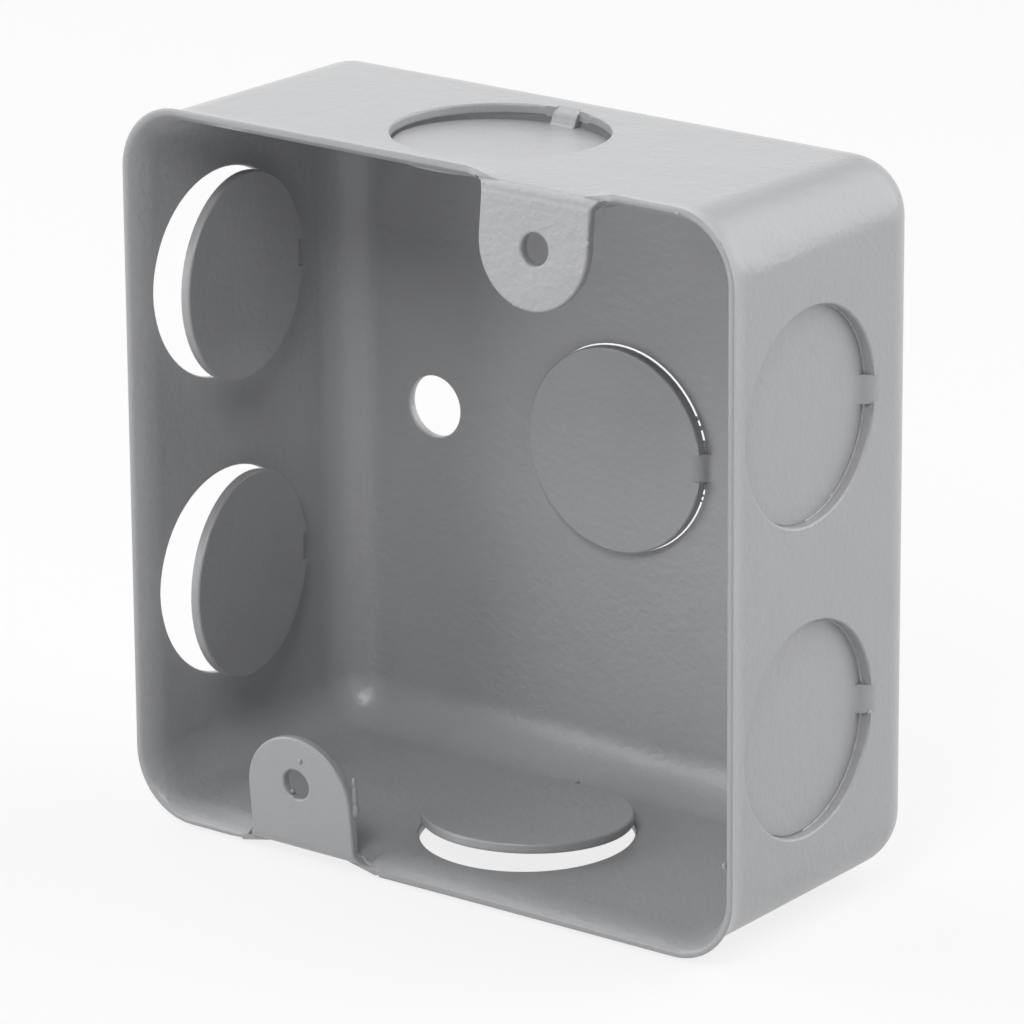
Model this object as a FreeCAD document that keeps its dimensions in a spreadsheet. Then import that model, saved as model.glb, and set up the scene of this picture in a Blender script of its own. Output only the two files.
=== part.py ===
import FreeCAD
import Part
import math
import os

import Sketcher
from FreeCAD import Placement, Rotation, Vector

# Square electrical box, drawn from one sheet of steel.
# The mouth faces -Y, the back plate is at +Y and +Z is up.
# The sketches stand in a frame whose plane y = 0 holds the rim's front edge, with the
# mouth centred on x = 0 and z = 0. The body is then moved by the box's depth, which
# puts the outer face of the back plate at y = 0.
# Lengths are in millimetres and angles in degrees.

os.makedirs("parts", exist_ok=True)
document = FreeCAD.newDocument("electrical_box")

# Driving sizes
SIZES = [
    # outer size of the walls just behind the rim, and from rim to back
    ("box_width", 76.2),
    ("box_height", 76.6),
    ("box_depth", 34.9),
    # painted steel sheet, and how much each wall leans inwards towards the back
    ("sheet", 1.1),
    ("wall_draft", 0.7),
    # outer radius between two walls, and between a wall and the back plate
    ("corner_radius", 6.6),
    ("back_radius", 6.1),
    # rim that turns outwards and thins towards its trimmed edge
    ("rim_depth", 3.3),
    ("rim_flare", 0.8),
    ("rim_sheet", 0.7),
    # the flare starts this far outside the ear's side and is full this far beyond
    ("rim_fade_inside", 1.4),
    ("rim_fade_outside", 2.4),
    # ears folded in from the rim, measured from the wall's outer face
    ("ear_offset", 15.45),
    ("ear_width", 13.5),
    ("top_ear_length", 12.2),
    ("top_ear_drop", 5.95),
    ("bottom_ear_length", 13.1),
    ("bottom_ear_drop", 7.75),
    ("ear_screw_hole", 3.3),
    ("ear_screw_offset", 15.7),
    ("ear_fold_angle", 84.0),
    ("ear_fold_inner", 0.35),
    ("ear_fold_start", 0.45),
    ("ear_root_radius", 1.4),
    # knockouts: hole, gap round the slug, and the tie that holds it
    ("knockout_hole", 22.6),
    ("slug_gap", 0.1),
    ("tie_width", 3.0),
    ("tie_root", 0.8),
    ("tie_foot", 1.4),
    # places of the knockouts, from the rim's plane and from the box's middle
    ("right_setback", 14.4),
    ("left_setback", 13.9),
    ("side_near", 15.3),
    ("side_far", 17.6),
    ("top_setback", 15.5),
    ("top_shift", 1.4),
    # how far each slug is pushed in, at its tie and at its free edge
    ("right_upper_tie", 1.3),
    ("right_upper_free", 0.9),
    ("right_lower_tie", 1.35),
    ("right_lower_free", 0.9),
    ("left_upper_tie", 1.35),
    ("left_upper_free", 4.45),
    ("left_lower_tie", 1.15),
    ("left_lower_free", 4.85),
    ("top_tie", 1.7),
    ("top_free", 0.9),
    ("bottom_tie", 1.8),
    ("bottom_free", 3.0),
    ("back_tie", 1.2),
    ("back_free", 1.3),
    # fixing holes in the back plate
    ("fixing_hole", 6.8),
    ("fixing_offset", 24.8),
]

sizes = document.addObject("Spreadsheet::Sheet", "sizes")
for row, (alias, value) in enumerate(SIZES, start=1):
    sizes.set("A%d" % row, alias)
    sizes.set("B%d" % row, str(value))
    sizes.setAlias("B%d" % row, alias)
document.recompute()

# Sizes that follow from the driving ones, written once as formulas
HALF_WIDTH = "sizes.box_width / 2"
HALF_HEIGHT = "sizes.box_height / 2"
INNER_HALF_WIDTH = "(sizes.box_width / 2 - sizes.sheet)"
INNER_HALF_HEIGHT = "(sizes.box_height / 2 - sizes.sheet)"
INNER_CORNER = "(sizes.corner_radius - sizes.sheet)"
WALL_SLOPE = "tan(sizes.wall_draft * 1 deg)"
EAR_ROOT_HALF = "(sizes.ear_width / 2 + sizes.ear_root_radius)"
EAR_RIGHT = "sizes.ear_offset + sizes.ear_width / 2"
EAR_LEFT = "sizes.ear_offset - sizes.ear_width / 2"
FLARE_RIGHT_END = "(%s + sizes.rim_fade_outside)" % EAR_RIGHT
FLARE_LEFT_END = "(%s - sizes.rim_fade_outside)" % EAR_LEFT
STRAIGHT_RIGHT = "(%s - sizes.rim_fade_inside)" % EAR_RIGHT
STRAIGHT_LEFT = "(%s + sizes.rim_fade_inside)" % EAR_LEFT
FOLD_OUTER = "(sizes.ear_fold_inner + sizes.sheet)"
HOLE_RADIUS = "sizes.knockout_hole / 2"
SLUG_RADIUS = "(sizes.knockout_hole / 2 - sizes.slug_gap)"
TIE_END = "(sizes.knockout_hole / 2 + sizes.tie_root)"
TIE_START = "(sizes.knockout_hole / 2 - sizes.tie_foot)"
EAR_FRONT = "sizes.ear_width"
QUARTER_TURN_BACK = Rotation(Vector(0, 0, 1), -90)


def measure(formula):
    """Value of a formula of the sheet's sizes, as a plain number."""
    value = sizes.evalExpression(formula)
    return float(getattr(value, "Value", value))


body = document.addObject("PartDesign::Body", "square_box")
body.Label = "square_box"
body.AllowCompound = True


def origin_feature(role):
    """Plane or axis of the body's own origin."""
    return next(item for item in body.Origin.OriginFeatures if item.Role == role)


def new_sketch(name, support, mode="FlatFace", rotation=Rotation(), **offsets):
    """Sketch on a plane; offsets are formulas for x, y and z in that plane's frame."""
    sketch = body.newObject("Sketcher::SketchObject", name)
    sketch.AttachmentSupport = [(support, "")]
    sketch.MapMode = mode
    base = Vector(*(measure(offsets.get(axis, "0")) for axis in "xyz"))
    sketch.AttachmentOffset = Placement(base, rotation)
    for axis, formula in offsets.items():
        sketch.setExpression("AttachmentOffset.Base.%s" % axis, formula)
    return sketch


def bind(sketch, name, formula, kind, *where):
    """Dimension of a sketch that is held to a formula."""
    index = sketch.addConstraint(Sketcher.Constraint(kind, *where, measure(formula)))
    sketch.renameConstraint(index, name)
    sketch.setExpression("Constraints.%s" % name, formula)


def bind_angle(sketch, name, formula, *where):
    """Angle of a sketch's line that is held to a formula."""
    value = math.radians(measure(formula))
    index = sketch.addConstraint(Sketcher.Constraint("Angle", *where, value))
    sketch.renameConstraint(index, name)
    sketch.setExpression("Constraints.%s" % name, formula)


def fix(sketch, kind, *where):
    """Geometric constraint of a sketch."""
    sketch.addConstraint(Sketcher.Constraint(kind, *where))


def arc(centre, radius, start, end):
    """Arc that runs anticlockwise between two angles in radians."""
    return Part.ArcOfCircle(Part.Circle(Vector(*centre, 0), Vector(0, 0, 1), radius), start, end)


def line(start, end):
    """Straight edge in a sketch's own plane."""
    return Part.LineSegment(Vector(*start, 0), Vector(*end, 0))


# Points of a sketch's geometry, and its own axes
START, END, CENTRE = range(1, 4)
X_AXIS, Y_AXIS = range(-1, -3, -1)
ORIGIN = X_AXIS


def rounded_rectangle(name, half_width, half_height, radius, **offsets):
    """Rectangle about the middle of the XZ plane with four round corners."""
    sketch = new_sketch(name, origin_feature("XZ_Plane"), **offsets)
    across, up, round_by = measure(half_width), measure(half_height), measure(radius)
    inner, level = across - round_by, up - round_by
    quarter = math.pi / 2
    sketch.addGeometry(
        [
            line((-inner, up), (inner, up)),
            arc((inner, level), round_by, 0, quarter),
            line((across, level), (across, -level)),
            arc((inner, -level), round_by, -quarter, 0),
            line((inner, -up), (-inner, -up)),
            arc((-inner, -level), round_by, 2 * quarter, 3 * quarter),
            line((-across, -level), (-across, level)),
            arc((-inner, level), round_by, quarter, 2 * quarter),
        ]
    )
    for side, corner, side_after in ((0, 1, 2), (2, 3, 4), (4, 5, 6), (6, 7, 0)):
        fix(sketch, "Tangent", side, END, corner, END)
        fix(sketch, "Tangent", corner, START, side_after, START)
    for corner in (3, 5, 7):
        fix(sketch, "Equal", 1, corner)
    fix(sketch, "Horizontal", 0)
    fix(sketch, "Horizontal", 4)
    fix(sketch, "Vertical", 2)
    fix(sketch, "Vertical", 6)
    bind(sketch, "up", half_height, "DistanceY", ORIGIN, START, 0, START)
    bind(sketch, "down", half_height, "DistanceY", 4, START, ORIGIN, START)
    bind(sketch, "right", half_width, "DistanceX", ORIGIN, START, 2, START)
    bind(sketch, "left", half_width, "DistanceX", 6, START, ORIGIN, START)
    bind(sketch, "corner", radius, "Radius", 1)
    return sketch


def drawn_shell():
    """Tray with leaning walls and one sheet's thickness all over, mouth open."""
    depth = "sizes.box_depth - sizes.rim_depth"
    outside = rounded_rectangle(
        "shell_outside", HALF_WIDTH, HALF_HEIGHT, "sizes.corner_radius", z="-sizes.rim_depth"
    )
    block = body.newObject("PartDesign::Pad", "drawn_block")
    block.Profile = outside
    block.Reversed = True
    block.setExpression("Length", depth)
    block.setExpression("TaperAngle", "-sizes.wall_draft")
    document.recompute()

    inside = rounded_rectangle(
        "shell_inside", INNER_HALF_WIDTH, INNER_HALF_HEIGHT, INNER_CORNER, z="-sizes.rim_depth"
    )
    cavity = body.newObject("PartDesign::Pocket", "drawn_cavity")
    cavity.Profile = inside
    cavity.setExpression("Length", depth + " - sizes.sheet")
    cavity.setExpression("TaperAngle", "-sizes.wall_draft")
    document.recompute()

    inner_bend = body.newObject("PartDesign::Fillet", "back_bend_inside")
    floor = measure("sizes.box_depth - sizes.sheet")
    inner_bend.Base = (cavity, back_edges(cavity.Shape, floor))
    inner_bend.setExpression("Radius", "sizes.back_radius - sizes.sheet")
    document.recompute()

    outer_bend = body.newObject("PartDesign::Fillet", "back_bend_outside")
    outer_bend.Base = (inner_bend, back_edges(inner_bend.Shape, measure("sizes.box_depth")))
    outer_bend.setExpression("Radius", "sizes.back_radius")
    document.recompute()


def back_edges(shape, depth):
    """Names of the edges that lie wholly at one depth behind the rim."""
    names = []
    for number, edge in enumerate(shape.Edges, start=1):
        box = edge.BoundBox
        if abs(box.YMin - depth) < 1e-4 and abs(box.YMax - depth) < 1e-4:
            names.append("Edge%d" % number)
    return names


def rim_section(name, place, flare):
    """Section of the rim across the top wall, from the wall to the trimmed edge."""
    sketch = new_sketch(name, origin_feature("YZ_Plane"), z=place)
    root, top, bottom = measure("sizes.rim_depth"), measure(HALF_HEIGHT), measure(INNER_HALF_HEIGHT)
    outer = "(sizes.box_height / 2 + %s)" % flare
    inner = "(%s - sizes.rim_sheet)" % outer
    high, low = measure(outer), measure(inner)
    flared = high > top
    sketch.addGeometry(
        [
            bell(root, top, high) if flared else line((0, high), (root, top)),
            line((0, high), (0, low)),
            bell(root, bottom, low),
            line((root, bottom), (root, top)),
        ]
    )
    fix(sketch, "Coincident", 0, START, 1, START)
    fix(sketch, "Coincident", 1, END, 2, START)
    fix(sketch, "Coincident", 2, END, 3, START)
    fix(sketch, "Coincident", 3, END, 0, END)
    fix(sketch, "PointOnObject", 0, START, Y_AXIS)
    fix(sketch, "PointOnObject", 2, START, Y_AXIS)
    if flared:
        fix(sketch, "Vertical", 0, CENTRE, 0, END)
    fix(sketch, "Vertical", 2, CENTRE, 2, END)
    bind(sketch, "outer_root", "sizes.rim_depth", "DistanceX", ORIGIN, START, 0, END)
    bind(sketch, "inner_root", "sizes.rim_depth", "DistanceX", ORIGIN, START, 2, END)
    bind(sketch, "wall_outside", HALF_HEIGHT, "DistanceY", ORIGIN, START, 0, END)
    bind(sketch, "wall_inside", INNER_HALF_HEIGHT, "DistanceY", ORIGIN, START, 2, END)
    bind(sketch, "edge_outside", outer, "DistanceY", ORIGIN, START, 0, START)
    bind(sketch, "edge_inside", inner, "DistanceY", ORIGIN, START, 2, START)
    return sketch


def bell(root, level, edge_level):
    """Arc that leaves a wall without a kink and rises to the rim's edge at y = 0."""
    rise = edge_level - level
    radius = (root**2 + rise**2) / (2 * rise)
    return arc((root, level + radius), radius, math.pi + math.asin((radius - rise) / radius), 1.5 * math.pi)


def rim_path():
    """Half of the rim: from the top ear round the right wall to the bottom ear."""
    sketch = new_sketch("rim_path", origin_feature("XZ_Plane"), z="-sizes.rim_depth")
    across, up, round_by = measure(HALF_WIDTH), measure(HALF_HEIGHT), measure("sizes.corner_radius")
    first, last = measure(FLARE_RIGHT_END), -measure(FLARE_LEFT_END)
    inner, level = across - round_by, up - round_by
    sketch.addGeometry(
        [
            line((first, up), (inner, up)),
            arc((inner, level), round_by, 0, math.pi / 2),
            line((across, level), (across, -level)),
            arc((inner, -level), round_by, -math.pi / 2, 0),
            line((inner, -up), (last, -up)),
        ]
    )
    for side, corner, side_after in ((0, 1, 2), (2, 3, 4)):
        fix(sketch, "Tangent", side, END, corner, END)
        fix(sketch, "Tangent", corner, START, side_after, START)
    fix(sketch, "Equal", 1, 3)
    fix(sketch, "Horizontal", 0)
    fix(sketch, "Vertical", 2)
    fix(sketch, "Horizontal", 4)
    bind(sketch, "up", HALF_HEIGHT, "DistanceY", ORIGIN, START, 0, START)
    bind(sketch, "down", HALF_HEIGHT, "DistanceY", 4, START, ORIGIN, START)
    bind(sketch, "right", HALF_WIDTH, "DistanceX", ORIGIN, START, 2, START)
    bind(sketch, "corner", "sizes.corner_radius", "Radius", 1)
    bind(sketch, "first", FLARE_RIGHT_END, "DistanceX", ORIGIN, START, 0, START)
    bind(sketch, "last", FLARE_LEFT_END, "DistanceX", 4, END, ORIGIN, START)
    return sketch


def rim_half():
    """Flared rim along half of the mouth, fading out to a straight edge at the ear."""
    flared = rim_section("rim_flared", FLARE_RIGHT_END, "sizes.rim_flare")
    sweep = body.newObject("PartDesign::AdditivePipe", "rim_sweep")
    sweep.Profile = flared
    sweep.Spine = (rim_path(), ["Edge%d" % number for number in range(1, 6)])
    fades = []
    for side, flare_end, straight_end in (
        ("right", FLARE_RIGHT_END, STRAIGHT_RIGHT),
        ("left", FLARE_LEFT_END, STRAIGHT_LEFT),
    ):
        fade = body.newObject("PartDesign::AdditiveLoft", "rim_fade_" + side)
        fade.Profile = rim_section("rim_flared_" + side, flare_end, "sizes.rim_flare")
        fade.Sections = [rim_section("rim_straight_" + side, straight_end, "0")]
        fades.append(fade)
    document.recompute()
    return [sweep] + fades


def ear(name, turn, length, drop):
    """Tab folded in from a wall, rounded at its end, with a screw hole.

    The frame of the ear has x along the wall and y from the box's middle towards it.
    """
    frame = body.newObject("PartDesign::Plane", name + "_frame")
    frame.AttachmentSupport = [(origin_feature("XZ_Plane"), "")]
    frame.MapMode = "ObjectXY"
    frame.AttachmentOffset = Placement(Vector(), turn)
    document.recompute()

    fold = body.newObject("PartDesign::Pad", name + "_fold")
    fold.Profile = ear_profile(name + "_profile", frame, length)
    fold.SideType = "Symmetric"
    fold.setExpression("Length", "2 * " + EAR_ROOT_HALF)

    trim = body.newObject("PartDesign::Pocket", name + "_trim")
    trim.Profile = ear_outline(name + "_outline", frame, length)
    trim.setExpression("Length", EAR_FRONT + " + sizes.ear_fold_start")

    circle = new_sketch(name + "_screw_circle", frame, "ObjectXY", z=EAR_FRONT)
    across, level = "sizes.ear_screw_offset", "(sizes.box_height / 2 - sizes.%s)" % drop
    centre = Vector(measure(across), measure(level), 0)
    circle.addGeometry(Part.Circle(centre, Vector(0, 0, 1), measure("sizes.ear_screw_hole / 2")))
    bind(circle, "across", across, "DistanceX", ORIGIN, START, 0, CENTRE)
    bind(circle, "level", level, "DistanceY", ORIGIN, START, 0, CENTRE)
    bind(circle, "radius", "sizes.ear_screw_hole / 2", "Radius", 0)
    screw_hole = body.newObject("PartDesign::Pocket", name + "_screw_hole")
    screw_hole.Profile = circle
    screw_hole.setExpression("Length", EAR_FRONT + " + sizes.ear_fold_start")
    document.recompute()


def ear_profile(name, frame, length):
    """Sheet that runs on from the wall, turns inwards and ends beyond the ear's tip."""
    sketch = new_sketch(name, frame, "ObjectYZ", QUARTER_TURN_BACK, z="sizes.ear_offset")
    root, top, bottom = measure("sizes.rim_depth"), measure(HALF_HEIGHT), measure(INNER_HALF_HEIGHT)
    start, inner_radius = measure("sizes.ear_fold_start"), measure("sizes.ear_fold_inner")
    outer_radius, sheet = measure(FOLD_OUTER), measure("sizes.sheet")
    turn = math.radians(measure("sizes.ear_fold_angle"))
    centre = Vector(start, top - outer_radius, 0)
    along = Vector(-math.cos(turn), -math.sin(turn), 0)
    outward = Vector(-math.sin(turn), math.cos(turn), 0)
    front = centre + outward * outer_radius
    end_level = "(sizes.box_height / 2 - sizes.%s - sizes.sheet)" % length
    front_end = front + along * ((front.y - measure(end_level)) / math.sin(turn))
    back = centre + outward * inner_radius
    back_end = front_end - outward * sheet
    from_top, to_tab = math.pi / 2, math.pi / 2 + turn
    sketch.addGeometry(
        [
            line((root, top), (start, top)),
            arc((centre.x, centre.y), outer_radius, from_top, to_tab),
            line((front.x, front.y), (front_end.x, front_end.y)),
            line((front_end.x, front_end.y), (back_end.x, back_end.y)),
            line((back_end.x, back_end.y), (back.x, back.y)),
            arc((centre.x, centre.y), inner_radius, from_top, to_tab),
            line((start, bottom), (root, bottom)),
            line((root, bottom), (root, top)),
        ]
    )
    fix(sketch, "Tangent", 0, END, 1, START)
    fix(sketch, "Tangent", 1, END, 2, START)
    fix(sketch, "Coincident", 2, END, 3, START)
    fix(sketch, "Coincident", 3, END, 4, START)
    fix(sketch, "Tangent", 4, END, 5, END)
    fix(sketch, "Tangent", 5, START, 6, START)
    fix(sketch, "Coincident", 6, END, 7, START)
    fix(sketch, "Coincident", 7, END, 0, START)
    fix(sketch, "Coincident", 1, CENTRE, 5, CENTRE)
    fix(sketch, "Horizontal", 0)
    fix(sketch, "Horizontal", 6)
    fix(sketch, "Vertical", 7)
    fix(sketch, "Perpendicular", 2, 3)
    fix(sketch, "Parallel", 2, 4)
    bind(sketch, "root", "sizes.rim_depth", "DistanceX", ORIGIN, START, 0, START)
    bind(sketch, "wall_outside", HALF_HEIGHT, "DistanceY", ORIGIN, START, 0, START)
    bind(sketch, "wall_inside", INNER_HALF_HEIGHT, "DistanceY", ORIGIN, START, 6, END)
    bind(sketch, "fold_start", "sizes.ear_fold_start", "DistanceX", ORIGIN, START, 1, CENTRE)
    bind(sketch, "fold_inner", "sizes.ear_fold_inner", "Radius", 5)
    bind(sketch, "tab_end", end_level, "DistanceY", ORIGIN, START, 2, END)
    bind_angle(sketch, "fold_angle", "(sizes.ear_fold_angle - 180) * 1 deg", 2)
    return sketch


def ear_outline(name, frame, length):
    """What is cut from the folded sheet: all but the tab, which flares at its root."""
    sketch = new_sketch(name, frame, "ObjectXY", z=EAR_FRONT)
    middle, half = measure("sizes.ear_offset"), measure("sizes.ear_width / 2")
    wide, round_by = measure(EAR_ROOT_HALF), measure("sizes.ear_root_radius")
    shoulder = "(sizes.box_height / 2)"
    tip_centre = "(sizes.box_height / 2 - sizes.%s + sizes.ear_width / 2)" % length
    lowest = "(sizes.box_height / 2 - sizes.%s - 2 * sizes.sheet)" % length
    high, centre, low = measure(shoulder), measure(tip_centre), measure(lowest)
    quarter = math.pi / 2
    sketch.addGeometry(
        [
            arc((middle - wide, high - round_by), round_by, 0, quarter),
            line((middle - half, high - round_by), (middle - half, centre)),
            arc((middle, centre), half, 2 * quarter, 4 * quarter),
            line((middle + half, centre), (middle + half, high - round_by)),
            arc((middle + wide, high - round_by), round_by, quarter, 2 * quarter),
            line((middle + wide, high), (middle + wide, low)),
            line((middle + wide, low), (middle - wide, low)),
            line((middle - wide, low), (middle - wide, high)),
        ]
    )
    fix(sketch, "Tangent", 0, START, 1, START)
    fix(sketch, "Tangent", 1, END, 2, START)
    fix(sketch, "Tangent", 2, END, 3, START)
    fix(sketch, "Tangent", 3, END, 4, END)
    fix(sketch, "Coincident", 4, START, 5, START)
    fix(sketch, "Coincident", 5, END, 6, START)
    fix(sketch, "Coincident", 6, END, 7, START)
    fix(sketch, "Coincident", 7, END, 0, END)
    for upright in (1, 3, 5, 7):
        fix(sketch, "Vertical", upright)
    fix(sketch, "Horizontal", 6)
    fix(sketch, "Equal", 0, 4)
    fix(sketch, "Vertical", 0, CENTRE, 0, END)
    fix(sketch, "Vertical", 4, CENTRE, 4, START)
    bind(sketch, "root_radius", "sizes.ear_root_radius", "Radius", 0)
    bind(sketch, "half_width", "sizes.ear_width / 2", "Radius", 2)
    bind(sketch, "middle", "sizes.ear_offset", "DistanceX", ORIGIN, START, 2, CENTRE)
    bind(sketch, "tip_centre", tip_centre, "DistanceY", ORIGIN, START, 2, CENTRE)
    bind(sketch, "left_shoulder", shoulder, "DistanceY", ORIGIN, START, 0, END)
    bind(sketch, "right_shoulder", shoulder, "DistanceY", ORIGIN, START, 4, START)
    bind(sketch, "lowest", lowest, "DistanceY", ORIGIN, START, 6, START)
    return sketch


def knockout(name, wall, draft, **place):
    """Round hole in a wall with its slug pushed in and held by one bent tie.

    The plane of the knockout has x from the middle towards the tie and z outwards.
    The slug turns about its tie as far as the two depths of its edge say.
    """
    role, turn = wall
    plane = body.newObject("PartDesign::Plane", name + "_plane")
    plane.AttachmentSupport = [(origin_feature(role), "")]
    plane.MapMode = "ObjectXY"
    plane.AttachmentOffset = Placement(Vector(*(measure(place[axis]) for axis in "xyz")), turn)
    for axis, formula in place.items():
        plane.setExpression("AttachmentOffset.Base.%s" % axis, formula)
    document.recompute()

    slope = "tan(%s * 1 deg)" % draft
    turned = "atan((sizes.%s_free - sizes.%s_tie) / sizes.knockout_hole)" % (name, name)
    lean = "(%s - %s * 1 deg)" % (turned, draft)
    middle = "(-%s * (%s + tan(%s)) - sizes.%s_tie)" % (HOLE_RADIUS, slope, lean, name)
    hole = body.newObject("PartDesign::Pocket", name + "_hole")
    hole.Profile = notched_circle(name + "_hole_circle", plane, HOLE_RADIUS, TIE_END, z="sizes.sheet")
    hole.setExpression("Length", "3 * sizes.sheet")

    tie = body.newObject("PartDesign::Pad", name + "_tie")
    tie.Profile = tie_profile(name + "_tie_profile", plane, slope, lean, middle)
    tie.SideType = "Symmetric"
    tie.setExpression("Length", "sizes.tie_width")

    face = notched_circle(name + "_slug_circle", plane, SLUG_RADIUS, TIE_START, z=middle)
    face.AttachmentOffset = Placement(face.AttachmentOffset.Base, Rotation(Vector(0, -1, 0), measure(lean)))
    face.setExpression("AttachmentOffset.Rotation.Angle", lean)
    slug = body.newObject("PartDesign::Pad", name + "_slug")
    slug.Profile = face
    slug.Reversed = True
    slug.setExpression("Length", "sizes.sheet")
    document.recompute()


def notched_circle(name, plane, radius, notch_end, **offsets):
    """Circle whose edge steps to another distance across the width of the tie."""
    sketch = new_sketch(name, plane, "ObjectXY", **offsets)
    size, end, half = measure(radius), measure(notch_end), measure("sizes.tie_width / 2")
    half_angle = math.asin(half / size)
    edge = size * math.cos(half_angle)
    sketch.addGeometry(
        [
            arc((0, 0), size, half_angle, 2 * math.pi - half_angle),
            line((edge, half), (end, half)),
            line((end, half), (end, -half)),
            line((end, -half), (edge, -half)),
        ]
    )
    fix(sketch, "Coincident", 0, CENTRE, ORIGIN, START)
    fix(sketch, "Coincident", 0, START, 1, START)
    fix(sketch, "Coincident", 1, END, 2, START)
    fix(sketch, "Coincident", 2, END, 3, START)
    fix(sketch, "Coincident", 3, END, 0, END)
    fix(sketch, "Horizontal", 1)
    fix(sketch, "Horizontal", 3)
    fix(sketch, "Symmetric", 2, START, 2, END, X_AXIS)
    bind(sketch, "radius", radius, "Radius", 0)
    bind(sketch, "tie_width", "sizes.tie_width", "DistanceY", 2, END, 2, START)
    bind(sketch, "notch_end", notch_end, "DistanceX", ORIGIN, START, 2, START)
    return sketch


def tie_profile(name, plane, slope, lean, middle):
    """Sheet that leaves the wall, dips by two equal bends and meets the leaning slug."""
    sketch = new_sketch(name, plane, "ObjectXZ")
    wall_level = "(-%s * %s)" % (TIE_END, slope)
    foot_across = "(%s * cos(%s))" % (TIE_START, lean)
    foot_level = "(%s + %s * sin(%s))" % (middle, TIE_START, lean)
    sheet, tilt = measure("sizes.sheet"), math.radians(measure(lean))
    root = Vector(measure(TIE_END), measure(wall_level), 0)
    foot = Vector(measure(foot_across), measure(foot_level), 0)
    upright, across_slug = Vector(0, 1, 0), Vector(-math.sin(tilt), math.cos(tilt), 0)
    under_root, under_foot = root - upright * sheet, foot - across_slug * sheet
    chord = (root + under_root - foot - under_foot) * 0.5
    reach = chord.dot(upright + across_slug)
    radius = chord.dot(chord) / (reach + math.sqrt(reach**2 + (2 - 2 * math.cos(tilt)) * chord.dot(chord)))
    lower = (root + under_root) * 0.5 - upright * radius
    upper = (foot + under_foot) * 0.5 + across_slug * radius
    meeting = math.atan2(upper.y - lower.y, upper.x - lower.x)
    wide, tight = radius + sheet / 2, radius - sheet / 2
    from_foot, to_meeting = tilt - math.pi / 2, meeting - math.pi
    sketch.addGeometry(
        [
            arc((lower.x, lower.y), wide, math.pi / 2, meeting),
            arc((upper.x, upper.y), tight, from_foot, to_meeting),
            line((foot.x, foot.y), (under_foot.x, under_foot.y)),
            arc((upper.x, upper.y), wide, from_foot, to_meeting),
            arc((lower.x, lower.y), tight, math.pi / 2, meeting),
            line((under_root.x, under_root.y), (root.x, root.y)),
        ]
    )
    fix(sketch, "Tangent", 0, END, 1, END)
    fix(sketch, "Coincident", 1, START, 2, START)
    fix(sketch, "Coincident", 2, END, 3, START)
    fix(sketch, "Tangent", 3, END, 4, END)
    fix(sketch, "Coincident", 4, START, 5, START)
    fix(sketch, "Coincident", 5, END, 0, START)
    fix(sketch, "Coincident", 0, CENTRE, 4, CENTRE)
    fix(sketch, "Coincident", 1, CENTRE, 3, CENTRE)
    fix(sketch, "PointOnObject", 1, CENTRE, 2)
    fix(sketch, "Equal", 0, 3)
    fix(sketch, "Vertical", 5)
    fix(sketch, "Vertical", 0, CENTRE, 0, START)
    bind(sketch, "root", TIE_END, "DistanceX", ORIGIN, START, 5, END)
    bind(sketch, "wall_level", wall_level, "DistanceY", ORIGIN, START, 5, END)
    bind(sketch, "foot", foot_across, "DistanceX", ORIGIN, START, 2, START)
    bind(sketch, "foot_level", foot_level, "DistanceY", ORIGIN, START, 2, START)
    bind(sketch, "sheet", "sizes.sheet", "DistanceY", 5, START, 5, END)
    bind_angle(sketch, "lean", "(%s - 90 deg)" % lean, 2)
    return sketch


def half_turn(features):
    """The same features again on the opposite walls, turned about the box's middle."""
    pattern = body.newObject("PartDesign::PolarPattern", "opposite_half")
    pattern.Originals = features
    pattern.Axis = (origin_feature("Y_Axis"), [""])
    pattern.Angle = 360
    pattern.Occurrences = 2
    body.Tip = pattern
    document.recompute()


def fixing_holes():
    """Two holes through the back plate, left and right of its knockout."""
    inside = "(sizes.box_depth - 2 * sizes.sheet)"
    sketch = new_sketch("fixing_circles", origin_feature("XZ_Plane"), z="-" + inside)
    radius, offset = measure("sizes.fixing_hole / 2"), measure("sizes.fixing_offset")
    for side in (-1, 1):
        sketch.addGeometry(Part.Circle(Vector(side * offset, 0, 0), Vector(0, 0, 1), radius))
    fix(sketch, "PointOnObject", 0, CENTRE, X_AXIS)
    fix(sketch, "PointOnObject", 1, CENTRE, X_AXIS)
    fix(sketch, "Equal", 0, 1)
    bind(sketch, "left", "sizes.fixing_offset", "DistanceX", 0, CENTRE, ORIGIN, START)
    bind(sketch, "right", "sizes.fixing_offset", "DistanceX", ORIGIN, START, 1, CENTRE)
    bind(sketch, "radius", "sizes.fixing_hole / 2", "Radius", 0)
    holes = body.newObject("PartDesign::Pocket", "fixing_holes")
    holes.Profile = sketch
    holes.setExpression("Length", "3 * sizes.sheet")
    document.recompute()


# Walls that carry a knockout: the origin plane, and its turn to face outwards with
# x towards the back plate, or upright on the back plate itself
RIGHT_WALL = ("YZ_Plane", Rotation())
LEFT_WALL = ("YZ_Plane", Rotation(Vector(1, 0, 0), 180))
TOP_WALL = ("XY_Plane", Rotation(Vector(0, 0, 1), 90))
BOTTOM_WALL = ("XY_Plane", Rotation(Vector(1, 1, 0), 180))
BACK_PLATE = ("XZ_Plane", Rotation(Vector(1, 0, 0), 180))


def wall_level(half_size, setback):
    """Distance of a leaning wall's outer face from the middle, at a depth behind the rim."""
    return "(%s - (%s - sizes.rim_depth) * %s)" % (half_size, setback, WALL_SLOPE)


def side_knockout(name, wall, sign, setback, height):
    """Knockout in the right wall, sign "", or in the left wall, sign "-"."""
    out = sign + wall_level(HALF_WIDTH, setback)
    knockout(name, wall, "sizes.wall_draft", x=setback, y=height, z=out)


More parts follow.
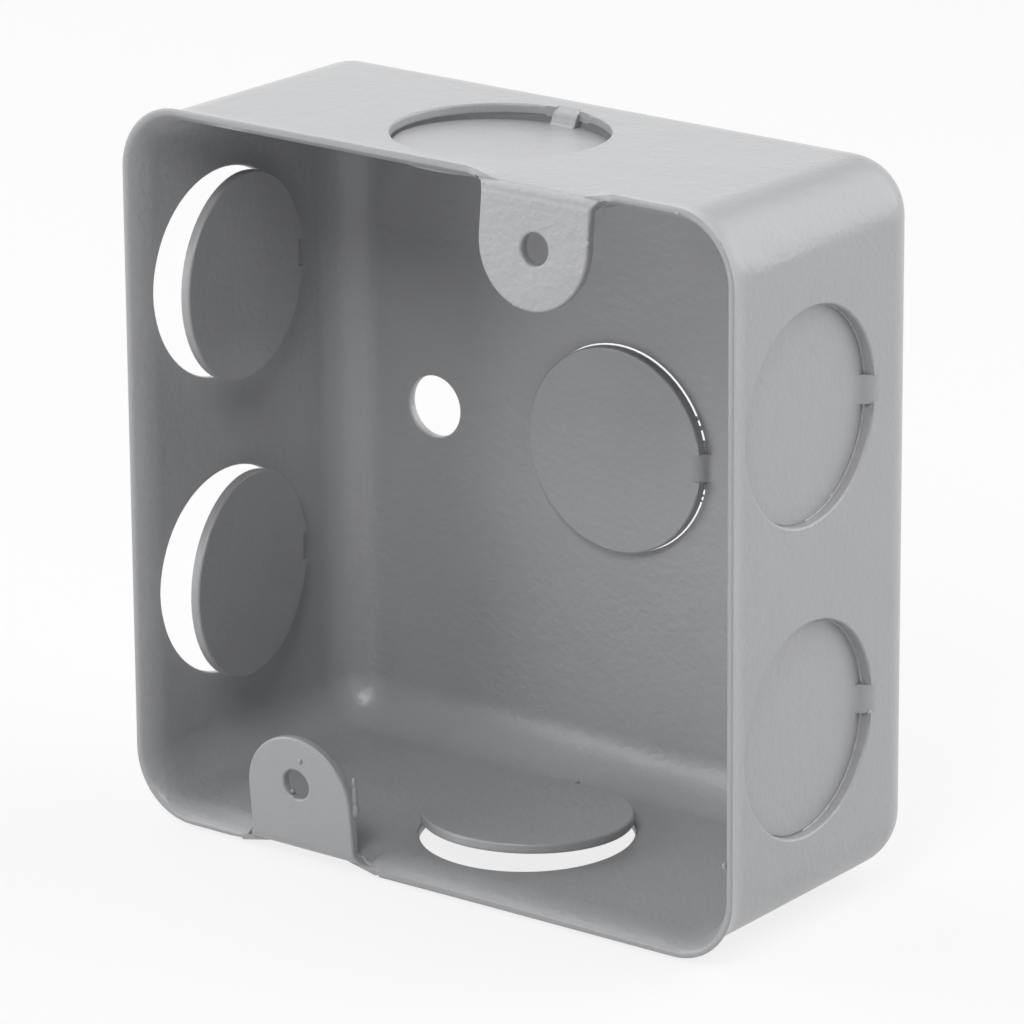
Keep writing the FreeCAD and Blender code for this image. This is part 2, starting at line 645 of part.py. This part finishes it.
def level_knockout(name, wall, sign):
    """Knockout in the top wall, sign "", or in the bottom wall, sign "-"."""
    out = sign + wall_level(HALF_HEIGHT, "sizes.top_setback")
    shift = ("-" if sign == "" else "") + "sizes.top_shift"
    knockout(name, wall, "sizes.wall_draft", x=shift, y="sizes.top_setback", z=out)


drawn_shell()
half_turn(rim_half())
side_knockout("right_upper", RIGHT_WALL, "", "sizes.right_setback", "sizes.side_near")
side_knockout("right_lower", RIGHT_WALL, "", "sizes.right_setback", "-sizes.side_far")
side_knockout("left_upper", LEFT_WALL, "-", "sizes.left_setback", "sizes.side_far")
side_knockout("left_lower", LEFT_WALL, "-", "sizes.left_setback", "-sizes.side_near")
level_knockout("top", TOP_WALL, "")
level_knockout("bottom", BOTTOM_WALL, "-")
knockout("back", BACK_PLATE, "0", x="0", y="0", z="-sizes.box_depth")
fixing_holes()
ear("top_ear", Rotation(), "top_ear_length", "top_ear_drop")
ear("bottom_ear", Rotation(Vector(0, 0, 1), 180), "bottom_ear_length", "bottom_ear_drop")
body.setExpression("Placement.Base.y", "-sizes.box_depth")
document.recompute()


def check_features():
    """Stop if a feature has failed or the body isn't one valid solid."""
    for item in document.Objects:
        if "Invalid" in item.State or "Error" in item.State:
            raise RuntimeError("%s has failed" % item.Name)
        shape = getattr(item, "Shape", None)
        if item.TypeId.startswith("PartDesign") and shape is not None:
            if shape.isNull() or not shape.isValid():
                raise RuntimeError("%s has no valid shape" % item.Name)
    if len(body.Shape.Solids) != 1:
        raise RuntimeError("the box is not one solid")


check_features()
body.Shape.exportStep("parts/square_box.step")
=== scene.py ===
import logging
import math
from dataclasses import dataclass, field
from enum import Enum

import bpy
import bmesh
import numpy as np
from mathutils import Matrix, Vector


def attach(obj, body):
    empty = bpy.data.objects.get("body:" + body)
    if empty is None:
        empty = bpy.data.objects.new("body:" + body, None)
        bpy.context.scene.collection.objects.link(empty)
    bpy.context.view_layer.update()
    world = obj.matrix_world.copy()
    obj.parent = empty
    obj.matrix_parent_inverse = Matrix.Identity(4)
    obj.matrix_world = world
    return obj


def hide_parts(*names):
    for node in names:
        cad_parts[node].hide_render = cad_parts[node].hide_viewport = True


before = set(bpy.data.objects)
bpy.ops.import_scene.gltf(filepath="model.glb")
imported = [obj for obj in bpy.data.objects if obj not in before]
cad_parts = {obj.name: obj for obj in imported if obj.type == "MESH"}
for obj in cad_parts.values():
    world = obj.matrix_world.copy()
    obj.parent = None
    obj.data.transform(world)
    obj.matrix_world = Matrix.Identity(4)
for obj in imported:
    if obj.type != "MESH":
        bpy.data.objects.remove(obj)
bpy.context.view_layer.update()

MM = 0.001
BOX_DEPTH = 34.9 * MM

log = logging.getLogger("electrical_box")


class LampSide(Enum):
    """Where a soft panel of the studio stands, seen from the camera."""

    FRONT = "front"
    RIGHT = "right"
    LEFT = "left"
    LOW_LEFT = "low_left"
    BEHIND = "behind"


def at_rim(x: float, behind: float, z: float) -> Vector:
    """Point of the row frame, from sizes measured on the box.

    Args:
        x: Distance right of the middle, in mm.
        behind: Distance behind the plane of the rim's front edge, in mm.
        z: Height above the middle, in mm.

    Returns:
        The point in metres.
    """
    return Vector((x * MM, behind * MM - BOX_DEPTH, z * MM))


def closed_tube(rings: np.ndarray, poles: np.ndarray) -> tuple:
    """Join rings of points into a closed surface with a pole at either end.

    Args:
        rings: Points of the rings in order, as an array of rings by points by 3.
        poles: The two end points.

    Returns:
        Vertices, and faces as lists of vertex numbers that point outwards.
    """
    count, around = rings.shape[:2]
    index = np.arange(count * around).reshape(count, around)
    after = np.roll(index, -1, axis=1)
    quads = np.stack([index[:-1], after[:-1], after[1:], index[1:]], axis=-1).reshape(-1, 4)
    first, last = count * around, count * around + 1
    start = np.stack([np.full(around, first), after[0], index[0]], axis=-1)
    end = np.stack([np.full(around, last), index[-1], after[-1]], axis=-1)
    faces = quads.tolist() + start.tolist() + end.tolist()
    return np.concatenate([rings.reshape(-1, 3), poles]), faces


def enamel_piece(name: str, parts: list, finish: bpy.types.Material) -> bpy.types.Object:
    """Make one piece of paint from closed surfaces.

    Args:
        name: Name of the piece.
        parts: Vertices in mm of the rim's frame, and faces, of each surface.
        finish: The enamel.

    Returns:
        The piece, carried by the box.
    """
    verts: list = []
    faces: list = []
    for points, loops in parts:
        faces += [[corner + len(verts) for corner in loop] for loop in loops]
        verts += (points * MM - np.array([0.0, BOX_DEPTH, 0.0])).tolist()
    mesh = bpy.data.meshes.new(name)
    mesh.from_pydata(verts, [], faces)
    form = bmesh.new()
    form.from_mesh(mesh)
    bmesh.ops.recalc_face_normals(form, faces=form.faces)
    form.to_mesh(mesh)
    form.free()
    mesh.shade_smooth()
    mesh.materials.append(finish)
    piece = bpy.data.objects.new(name, mesh)
    bpy.context.scene.collection.objects.link(piece)
    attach(piece, "root")
    return piece


class NodeSheet:
    """Small helper that lays out and joins the nodes of one material."""

    def __init__(self, name: str) -> None:
        """Start an empty material with its output.

        Args:
            name: Name of the material.
        """
        self.material = bpy.data.materials.new(name)
        self.material.use_nodes = True
        self.tree = self.material.node_tree
        self.tree.nodes.clear()
        self.output = self.tree.nodes.new("ShaderNodeOutputMaterial")

    def add(self, kind: str, **values: object) -> bpy.types.Node:
        """Add a node.

        Args:
            kind: Blender's name of the node type.
            values: Properties of the node, and numbers or colours of its inputs with
                their spaces written as underscores.

        Returns:
            The new node.
        """
        node = self.tree.nodes.new(kind)
        for key, value in values.items():
            if hasattr(node, key):
                setattr(node, key, value)
            else:
                node.inputs[key.replace("_", " ")].default_value = value
        return node

    def join(self, source: bpy.types.NodeSocket, target: bpy.types.NodeSocket) -> None:
        """Link an output to an input."""
        self.tree.links.new(source, target)


@dataclass(frozen=True)
class GreyEnamel:
    """Stoved grey enamel on drawn steel, with a faint orange peel."""

    colour: tuple = (0.374, 0.377, 0.386)
    dark: tuple = (0.352, 0.355, 0.364)
    roughness: float = 0.33
    gloss_index: float = 1.5
    cloud_scale: float = 70.0
    wave_scale: float = 150.0
    wave_share: float = 2.2
    peel_scale: float = 1400.0
    peel_depth: float = 0.14 * MM
    peel_strength: float = 0.55

    def build(self) -> bpy.types.Material:
        """Make the material.

        A noise on object coordinates clouds the colour faintly. The height of the
        surface is a long wave times its share, plus a fine orange peel.

        Returns:
            The finished material.
        """
        sheet = NodeSheet("grey_enamel")
        place = sheet.add("ShaderNodeTexCoord")
        clouds = sheet.add(
            "ShaderNodeTexNoise", Scale=self.cloud_scale, Detail=4.0, Roughness=0.55
        )
        tone = sheet.add("ShaderNodeMix", data_type="RGBA")
        tone.inputs["A"].default_value = (*self.dark, 1.0)
        tone.inputs["B"].default_value = (*self.colour, 1.0)
        peel = sheet.add("ShaderNodeTexNoise", Scale=self.peel_scale, Detail=3.0, Roughness=0.5)
        wave = sheet.add("ShaderNodeTexNoise", Scale=self.wave_scale, Detail=2.0, Roughness=0.5)
        depth = sheet.add("ShaderNodeMath", operation="MULTIPLY_ADD")
        depth.inputs[1].default_value = self.wave_share
        bump = sheet.add(
            "ShaderNodeBump", Strength=self.peel_strength, Distance=self.peel_depth
        )
        paint = sheet.add(
            "ShaderNodeBsdfPrincipled", Roughness=self.roughness, IOR=self.gloss_index
        )
        for texture in (clouds, peel, wave):
            sheet.join(place.outputs["Object"], texture.inputs["Vector"])
        sheet.join(clouds.outputs["Fac"], tone.inputs["Factor"])
        sheet.join(wave.outputs["Fac"], depth.inputs[0])
        sheet.join(peel.outputs["Fac"], depth.inputs[2])
        sheet.join(depth.outputs["Value"], bump.inputs["Height"])
        sheet.join(tone.outputs["Result"], paint.inputs["Base Color"])
        sheet.join(bump.outputs["Normal"], paint.inputs["Normal"])
        sheet.join(paint.outputs["BSDF"], sheet.output.inputs["Surface"])
        return sheet.material


@dataclass(frozen=True)
class TightRing:
    """Round edge beside a slug's slit, which full rounding would open.

    Its circle lies across the axis (0 for x, 1 for depth). Sizes are in mm of the rim's
    frame, and share is the part of the full rounding that the edge gets.
    """

    axis: int
    centre: tuple
    radius: float
    span: tuple
    share: float
    reach: float = 0.03

    def holds(self, places: np.ndarray) -> bool:
        """Tell whether an edge lies on the ring.

        Args:
            places: The edge's two ends in mm of the rim's frame.

        Returns:
            True if both lie within reach of the circle and inside the span along its axis.
        """
        flat = np.delete(places, self.axis, axis=1) - np.array(self.centre)
        on_circle = np.abs(np.linalg.norm(flat, axis=1) - self.radius) < self.reach
        low, high = self.span
        along = places[:, self.axis]
        return bool(on_circle.all() and (along > low).all() and (along < high).all())


@dataclass
class PaintedShell:
    """The drawn shell with its slugs and ears, whose cut edges the paint has rounded."""

    finish: bpy.types.Material
    node: str = "square_box"
    merge_gap: float = 0.008 * MM
    sharp_angle: float = math.radians(40.0)
    flat_angle: float = math.radians(0.05)
    knot_gap: float = 0.35 * MM
    stub: float = 0.34 * MM
    rim_zone: float = 3.5 * MM
    edge_width: float = 0.26 * MM
    edge_rings: int = 3
    normal_weight: int = 50
    tight_rings: tuple = (
        TightRing(0, (14.4, 15.3), 11.3, (36.3, 37.3), 0.0),
        TightRing(0, (14.4, 15.3), 11.2, (36.3, 37.3), 0.45),
        TightRing(0, (14.4, -17.6), 11.3, (36.3, 37.3), 0.0),
        TightRing(0, (14.4, -17.6), 11.2, (36.3, 37.3), 0.45),
        TightRing(1, (0.0, 0.0), 11.3, (33.7, 33.9), 0.4),
        TightRing(1, (0.0, 0.0), 11.2, (33.4, 33.9), 0.0),
    )
    ledge_corners: tuple = ((7.3, 0.45, 37.2), (23.6, 0.45, 37.2))
    ledge_reach: float = 0.02 * MM
    ledge_lift: float = 0.72 * MM

    def build(self) -> bpy.types.Object:
        """Merge a copy of the shell and round its cut edges.

        Every edge sharper than the given angle is rounded by a strip of narrow faces,
        except close to the points where several such edges meet. The normals are then
        weighted by the faces' areas, so flat sheet stays flat up to its edges.

        Returns:
            The painted shell, which replaces the solid of the fixed frame.
        """
        form = bmesh.new()
        form.from_mesh(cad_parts[self.node].data)
        bmesh.ops.remove_doubles(form, verts=form.verts, dist=self.merge_gap)
        for face in form.faces:
            face.smooth = True
        self.join_flats(form)
        self.lift_ledges(form)
        bmesh.ops.remove_doubles(form, verts=form.verts, dist=self.merge_gap)
        bmesh.ops.dissolve_degenerate(form, edges=form.edges, dist=self.merge_gap)
        self.weigh(form)
        mesh = bpy.data.meshes.new("painted_shell")
        form.to_mesh(mesh)
        form.free()
        mesh.materials.append(self.finish)
        piece = bpy.data.objects.new("painted_shell", mesh)
        bpy.context.scene.collection.objects.link(piece)
        bevel = piece.modifiers.new("rounded_edges", "BEVEL")
        bevel.width = self.edge_width
        bevel.segments = self.edge_rings
        bevel.limit_method = "WEIGHT"
        bevel.use_clamp_overlap = False
        bevel.loop_slide = False
        normals = piece.modifiers.new("flat_normals", "WEIGHTED_NORMAL")
        normals.mode = "FACE_AREA"
        normals.weight = self.normal_weight
        normals.keep_sharp = True
        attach(piece, "root")
        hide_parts(self.node)
        return piece

    def share(self, ends: np.ndarray) -> float:
        """Share of the full rounding that an edge gets.

        Args:
            ends: The edge's two ends, in metres.

        Returns:
            Less than 1 beside a slug's tight slit, which full rounding would open.
        """
        places = ends / MM + np.array([0.0, BOX_DEPTH / MM, 0.0])
        for ring in self.tight_rings:
            if ring.holds(places):
                return ring.share
        return 1.0

    def lift_ledges(self, form: bmesh.types.BMesh) -> None:
        """Slope the sheet beside each ear's root up to the thinner rim.

        Args:
            form: The merged shell; one corner beside each root moves towards its wall.
        """
        for x, behind, z in self.ledge_corners:
            for side in (1, -1):
                corner = at_rim(side * x, behind, side * z)
                for vert in form.verts:
                    if (vert.co - corner).length < self.ledge_reach:
                        vert.co.z += side * self.ledge_lift

    def join_flats(self, form: bmesh.types.BMesh) -> None:
        """Join the triangles of each flat face, so the rounding meets no slim ones.

        Args:
            form: The merged shell; its triangles in the zone of the rim stay as they are.
        """
        flat = [
            edge
            for edge in form.edges
            if edge.calc_face_angle(1.0) < self.flat_angle
            and min(vert.co.y for vert in edge.verts) > -BOX_DEPTH + self.rim_zone
        ]
        bmesh.ops.dissolve_limit(
            form, angle_limit=self.flat_angle, use_dissolve_boundaries=False, verts=[], edges=flat
        )

    def weigh(self, form: bmesh.types.BMesh) -> None:
        """Mark the edges to be rounded, and those that stay sharp.

        Args:
            form: The merged shell; its bevel weights are set.
        """
        weight = form.edges.layers.float.new("bevel_weight_edge")
        sharp = [edge for edge in form.edges if edge.calc_face_angle(0.0) > self.sharp_angle]
        meets: dict = {}
        for edge in sharp:
            for vert in edge.verts:
                meets[vert] = meets.get(vert, 0) + 1
        # A knot is a point where sharp edges end, or where more than two of them meet.
        knots = np.array([vert.co for vert, count in meets.items() if count != 2])
        for edge in sharp:
            ends = np.array([vert.co for vert in edge.verts])
            gaps = np.linalg.norm(knots[None, :, :] - ends[:, None, :], axis=2)
            share = self.share(ends) if gaps.min() > self.knot_gap else 0.0
            edge[weight] = share
            edge.smooth = share > 0.0
        while self.end_straight(form, weight):
            pass

    def end_straight(self, form: bmesh.types.BMesh, weight: bmesh.types.BMLayerItem) -> int:
        """Let each rounding end partway along an edge, where it has room to close.

        Args:
            form: The merged shell.
            weight: Layer of the bevel weights.

        Returns:
            How many edges were too short for it and stay sharp instead. They can bare new
            ends, so the call is repeated until there are none.
        """
        rounded: dict = {}
        for edge in form.edges:
            if edge[weight] > 0.0:
                for vert in edge.verts:
                    rounded.setdefault(vert, []).append(edge)
        dropped = 0
        for vert, edges in rounded.items():
            edge = edges[0]
            share = edge[weight]
            if len(edges) != 1 or len(vert.link_edges) == 2 or share == 0.0:
                continue
            if vert.co.y < -BOX_DEPTH + self.rim_zone:
                continue
            length = edge.calc_length()
            if length < 2.0 * self.stub:
                edge[weight] = 0.0
                edge.smooth = False
                dropped += 1
                continue
            other, _ = bmesh.utils.edge_split(edge, vert, self.stub / length)
            for part in (edge, other):
                near = vert in part.verts
                part[weight] = 0.0 if near else share
                part.smooth = not near
        return dropped


@dataclass
class PaintSeam:
    """Paint that has run into the slit round a slug and closes it in places.

    Sizes are in mm of the rim's frame, and arcs are pairs of angles in degrees.
    """

    name: str
    centre: tuple
    across: tuple
    up: tuple
    arcs: tuple
    finish: bpy.types.Material
    radius: float = 11.25
    bead: float = 0.15
    lean: float = 0.0
    taper: float = 2.5
    swells: tuple = ((0.16, 37.0, 0.0), (0.10, 61.0, 1.0))
    steps_per_degree: float = 1.5
    least_steps: int = 8
    around: int = 10

    def build(self) -> bpy.types.Object:
        """Make the seam as one piece.

        Returns:
            The piece.
        """
        return enamel_piece(self.name, [self.run(arc) for arc in self.arcs], self.finish)

    def run(self, arc: tuple) -> tuple:
        """Shape the paint along one arc of the slit.

        The spine is the circle centre + radius (cos t across + sin t up), shifted along
        the circle's axis by lean cos t. Round it lies a circle of the bead's radius
        times 1 + the sum of size sin(rate t + start) over the swells. Over the taper,
        given in beads, it closes as half an ellipse at each end.

        Args:
            arc: First and last angle of the arc, in degrees.

        Returns:
            Vertices and faces.
        """
        first, last = arc
        count = max(self.least_steps, int((last - first) * self.steps_per_degree))
        share = (1.0 - np.cos(np.linspace(0.0, np.pi, count + 2)[1:-1])) / 2.0
        turn = np.radians(first + (last - first) * share)
        across, up = np.array(self.across), np.array(self.up)
        axis = np.cross(across, up)
        length = np.radians(last - first) * self.radius
        from_end = np.minimum(share, 1.0 - share) * length / (self.taper * self.bead)
        closing = np.sqrt(np.clip(1.0 - (1.0 - np.minimum(from_end, 1.0)) ** 2, 0.0, 1.0))
        waves = 1.0
        for size, rate, start in self.swells:
            waves = waves + size * np.sin(turn * rate + start)
        section = np.linspace(0.0, 2.0 * np.pi, self.around, endpoint=False)
        out = np.cos(turn)[:, None] * across + np.sin(turn)[:, None] * up
        spine = np.array(self.centre) + self.radius * out
        spine = spine + self.lean * np.cos(turn)[:, None] * axis
        reach = (self.bead * closing * waves)[:, None, None]
        rings = spine[:, None, :] + reach * (
            np.cos(section)[None, :, None] * out[:, None, :]
            + np.sin(section)[None, :, None] * axis[None, None, :]
        )
        return closed_tube(rings, spine[[0, -1]])


@dataclass(frozen=True)
class Bead:
    """One drop: its centre, half its width, depth and height in mm, and its turn."""

    name: str
    centre: tuple
    half: tuple
    turn: float = 0.0


@dataclass
class PaintBeads:
    """Drops, beads and a run of paint left on the ears, the rim and the slugs' ties."""

    finish: bpy.types.Material
    around: int = 16
    rings: int = 9
    beads: tuple = (
        Bead("ear_drop", (-14.79, -2.00, -27.65), (0.28, 0.20, 0.34)),
        Bead("hole_drop", (-16.62, -0.95, -31.60), (0.20, 0.34, 0.28), 35.0),
        Bead("run_top", (-8.80, -0.55, -29.10), (0.26, 0.28, 0.60)),
        Bead("run_middle", (-8.76, -0.55, -30.80), (0.34, 0.36, 1.50)),
        Bead("run_end", (-8.66, -0.60, -32.15), (0.44, 0.42, 0.80)),
        Bead("side_drop", (22.18, -1.27, 33.99), (0.22, 0.22, 0.34)),
        Bead("tip_drop", (13.70, -2.02, 26.50), (0.30, 0.16, 0.16), -12.0),
        Bead("tip_drop_small", (14.50, -2.04, 26.38), (0.20, 0.13, 0.13)),
        Bead("rim_dash", (36.75, 0.10, 36.62), (0.80, 0.14, 0.14), -37.0),
        Bead("rim_drop_top", (32.03, 0.06, 38.42), (0.28, 0.14, 0.20)),
        Bead("rim_drop_low", (37.75, 0.25, -27.90), (0.24, 0.26, 0.36)),
        Bead("upper_tie_drop", (37.72, 25.80, 13.78), (0.20, 0.30, 0.22)),
        Bead("lower_tie_drop", (36.70, 25.75, -16.05), (0.24, 0.26, 0.20)),
        Bead("lower_tie_bead", (37.60, 25.60, -19.05), (0.20, 0.28, 0.24)),
    )

    def build(self) -> bpy.types.Object:
        """Make all the beads as one piece.

        Returns:
            The piece.
        """
        log.info("Beads: %s", ", ".join(bead.name for bead in self.beads))
        parts = [self.shape(bead) for bead in self.beads]
        return enamel_piece("paint_beads", parts, self.finish)

    def shape(self, bead: Bead) -> tuple:
        """Shape one bead, half sunk in the sheet.

        It is the ellipsoid centre + (a sin p cos q, b sin p sin q, c cos p), with p from
        pole to pole and q round the upright axis, turned in the plane of the rim.

        Args:
            bead: The bead; its centre is in the rim's frame, its turn in degrees.

        Returns:
            Vertices and faces.
        """
        wide, deep, high = bead.half
        polar = np.linspace(0.0, np.pi, self.rings + 2)[1:-1][:, None]
        round_it = np.linspace(0.0, 2.0 * np.pi, self.around, endpoint=False)[None, :]
        rings = np.stack(
            [
                wide * np.sin(polar) * np.cos(round_it),
                deep * np.sin(polar) * np.sin(round_it),
                high * np.cos(polar) * np.ones_like(round_it),
            ],
            axis=-1,
        )
        poles = np.array([[0.0, 0.0, high], [0.0, 0.0, -high]])
        angle = math.radians(bead.turn)
        spin = np.array(
            [
                [math.cos(angle), 0.0, -math.sin(angle)],
                [0.0, 1.0, 0.0],
                [math.sin(angle), 0.0, math.cos(angle)],
            ]
        )
        middle = np.array(bead.centre)
        return closed_tube(rings @ spin.T + middle, poles @ spin.T + middle)


def seams(finish: bpy.types.Material) -> list:
    """Seams of paint round the slugs that stand close to their holes.

    Args:
        finish: The enamel.

    Returns:
        The makers of the seams.
    """
    behind, upright, right = (0.0, 1.0, 0.0), (0.0, 0.0, 1.0), (1.0, 0.0, 0.0)
    side_arcs = ((15.0, 80.0), (272.0, 345.0))
    back_arcs = (
        (7.5, 15.0),
        (20.0, 23.0),
        (25.5, 28.5),
        (339.5, 341.0),
        (342.8, 344.4),
        (347.0, 352.0),
    )
    sides = [
        PaintSeam(name, centre, behind, upright, side_arcs, finish, lean=-0.25)
        for name, centre in (
            ("seam_right_upper", (36.90, 14.4, 15.3)),
            ("seam_right_lower", (36.90, 14.4, -17.6)),
        )
    ]
    back = PaintSeam("seam_back", (0.0, 33.74, 0.0), right, upright, back_arcs, finish, bead=0.16)
    return [*sides, back]


@dataclass(frozen=True)
class SoftPanel:
    """One lamp: its power in watts, and its place and the length of its side in metres."""

    power: float
    place: tuple
    size: float


@dataclass
class Studio:
    """Pale floor, white surroundings and soft panels of light."""

    floor_level: float = -39.55 * MM
    floor_reach: float = 3.0
    floor_tone: tuple = (0.80, 0.80, 0.80, 1.0)
    floor_glow: float = 0.82
    white: tuple = (1.0, 1.0, 1.0, 1.0)
    world_light: float = 0.0
    panels: dict = field(
        default_factory=lambda: {
            LampSide.FRONT: SoftPanel(1.8, (0.15, -0.46, 0.44), 0.24),
            LampSide.RIGHT: SoftPanel(5.7, (0.42, 0.37, 0.37), 0.90),
            LampSide.LEFT: SoftPanel(2.1, (-0.45, 0.0, 0.45), 0.55),
            LampSide.LOW_LEFT: SoftPanel(2.1, (-0.45, -0.45, 0.1), 0.45),
            LampSide.BEHIND: SoftPanel(0.60, (-0.50, 0.35, 0.2), 0.70),
        }
    )

    def build(self) -> None:
        """Build the floor, the world and the lamps."""
        self.floor()
        self.world()
        for side, panel in self.panels.items():
            self.hang(side, panel)

    def floor(self) -> None:
        """Lay a wide pale plane under the box; the camera sees it lit up to white."""
        reach = self.floor_reach
        mesh = bpy.data.meshes.new("floor")
        corners = [(-reach, -reach), (reach, -reach), (reach, reach), (-reach, reach)]
        mesh.from_pydata([(x, y, self.floor_level) for x, y in corners], [], [(0, 1, 2, 3)])
        floor = bpy.data.objects.new("floor", mesh)
        bpy.context.scene.collection.objects.link(floor)
        sheet = NodeSheet("pale_floor")
        matt = sheet.add("ShaderNodeBsdfDiffuse", Color=self.floor_tone)
        glow = sheet.add("ShaderNodeEmission", Color=self.white, Strength=1.0)
        ray = sheet.add("ShaderNodeLightPath")
        share = sheet.add("ShaderNodeMath", operation="MAXIMUM")
        part = sheet.add("ShaderNodeMath", operation="MULTIPLY")
        part.inputs[1].default_value = self.floor_glow
        mix = sheet.add("ShaderNodeMixShader")
        sheet.join(ray.outputs["Is Camera Ray"], share.inputs[0])
        sheet.join(ray.outputs["Is Glossy Ray"], share.inputs[1])
        sheet.join(share.outputs["Value"], part.inputs[0])
        sheet.join(part.outputs["Value"], mix.inputs["Fac"])
        sheet.join(matt.outputs["BSDF"], mix.inputs[1])
        sheet.join(glow.outputs["Emission"], mix.inputs[2])
        sheet.join(mix.outputs["Shader"], sheet.output.inputs["Surface"])
        mesh.materials.append(sheet.material)

    def world(self) -> None:
        """Surround the box with white that the camera and the gloss see in full."""
        world = bpy.data.worlds.new("studio")
        bpy.context.scene.world = world
        world.use_nodes = True
        tree = world.node_tree
        tree.nodes.clear()
        out = tree.nodes.new("ShaderNodeOutputWorld")
        soft = tree.nodes.new("ShaderNodeBackground")
        soft.inputs["Strength"].default_value = self.world_light
        white = tree.nodes.new("ShaderNodeBackground")
        white.inputs["Strength"].default_value = 1.0
        for background in (soft, white):
            background.inputs["Color"].default_value = self.white
        ray = tree.nodes.new("ShaderNodeLightPath")
        first, second = (tree.nodes.new("ShaderNodeMath") for _ in range(2))
        first.operation = second.operation = "MAXIMUM"
        mix = tree.nodes.new("ShaderNodeMixShader")
        tree.links.new(ray.outputs["Is Camera Ray"], first.inputs[0])
        tree.links.new(ray.outputs["Is Glossy Ray"], first.inputs[1])
        tree.links.new(first.outputs["Value"], second.inputs[0])
        tree.links.new(ray.outputs["Is Transmission Ray"], second.inputs[1])
        tree.links.new(second.outputs["Value"], mix.inputs["Fac"])
        tree.links.new(soft.outputs["Background"], mix.inputs[1])
        tree.links.new(white.outputs["Background"], mix.inputs[2])
        tree.links.new(mix.outputs["Shader"], out.inputs["Surface"])

    def hang(self, side: LampSide, panel: SoftPanel) -> None:
        """Hang one soft panel that faces the middle of the box.

        Args:
            side: Where it hangs, which also names it.
            panel: Its power, place and size.
        """
        lamp = bpy.data.lights.new("panel_" + side.value, "AREA")
        lamp.shape = "SQUARE"
        lamp.size = panel.size
        lamp.energy = panel.power
        holder = bpy.data.objects.new("panel_" + side.value, lamp)
        holder.location = panel.place
        holder.rotation_mode = "QUATERNION"
        aim = Vector((0.0, -BOX_DEPTH / 2, 0.0)) - Vector(panel.place)
        holder.rotation_quaternion = aim.to_track_quat("-Z", "Y")
        bpy.context.scene.collection.objects.link(holder)


@dataclass(frozen=True)
class ProductCamera:
    """Camera at the photograph's viewpoint; angles in degrees, target in the rim's frame."""

    azimuth: float = 37.601
    elevation: float = 18.094
    roll: float = -0.408
    distance: float = 703.83 * MM
    target: tuple = (-1.288, 16.764, -2.830)
    lens: float = 239.53
    sensor: float = 36.0
    nearest: float = 0.01
    farthest: float = 20.0

    def build(self) -> bpy.types.Object:
        """Place the camera.

        Its line of sight is given by azimuth and elevation, and the picture's upright is
        then turned by the roll.

        Returns:
            The camera object.
        """
        across, up = math.radians(self.azimuth), math.radians(self.elevation)
        back = Vector(
            (math.sin(across) * math.cos(up), -math.cos(across) * math.cos(up), math.sin(up))
        )
        right = (-back).cross(Vector((0.0, 0.0, 1.0))).normalized()
        over = right.cross(-back)
        turn = math.radians(self.roll)
        right_side = right * math.cos(turn) + over * math.sin(turn)
        upright = over * math.cos(turn) - right * math.sin(turn)
        axes = Matrix((right_side, upright, back)).transposed()
        data = bpy.data.cameras.new("camera")
        data.lens = self.lens
        data.sensor_width = self.sensor
        data.clip_start = self.nearest
        data.clip_end = self.farthest
        camera = bpy.data.objects.new("camera", data)
        camera.matrix_world = Matrix.Translation(
            at_rim(*self.target) + back * self.distance
        ) @ axes.to_4x4()
        bpy.context.scene.collection.objects.link(camera)
        bpy.context.scene.camera = camera
        return camera


def main() -> None:
    """Build the dressed box, the studio and the camera in order."""
    logging.basicConfig(level=logging.INFO, format="%(message)s")
    bpy.context.scene.view_settings.view_transform = "Standard"
    enamel = GreyEnamel().build()
    makers = [
        PaintedShell(enamel),
        *seams(enamel),
        PaintBeads(enamel),
        Studio(),
        ProductCamera(),
    ]
    for maker in makers:
        made = maker.build()
        log.info("%s: %s", type(maker).__name__, made.name if made else "done")


if __name__ == "__main__":
    main()
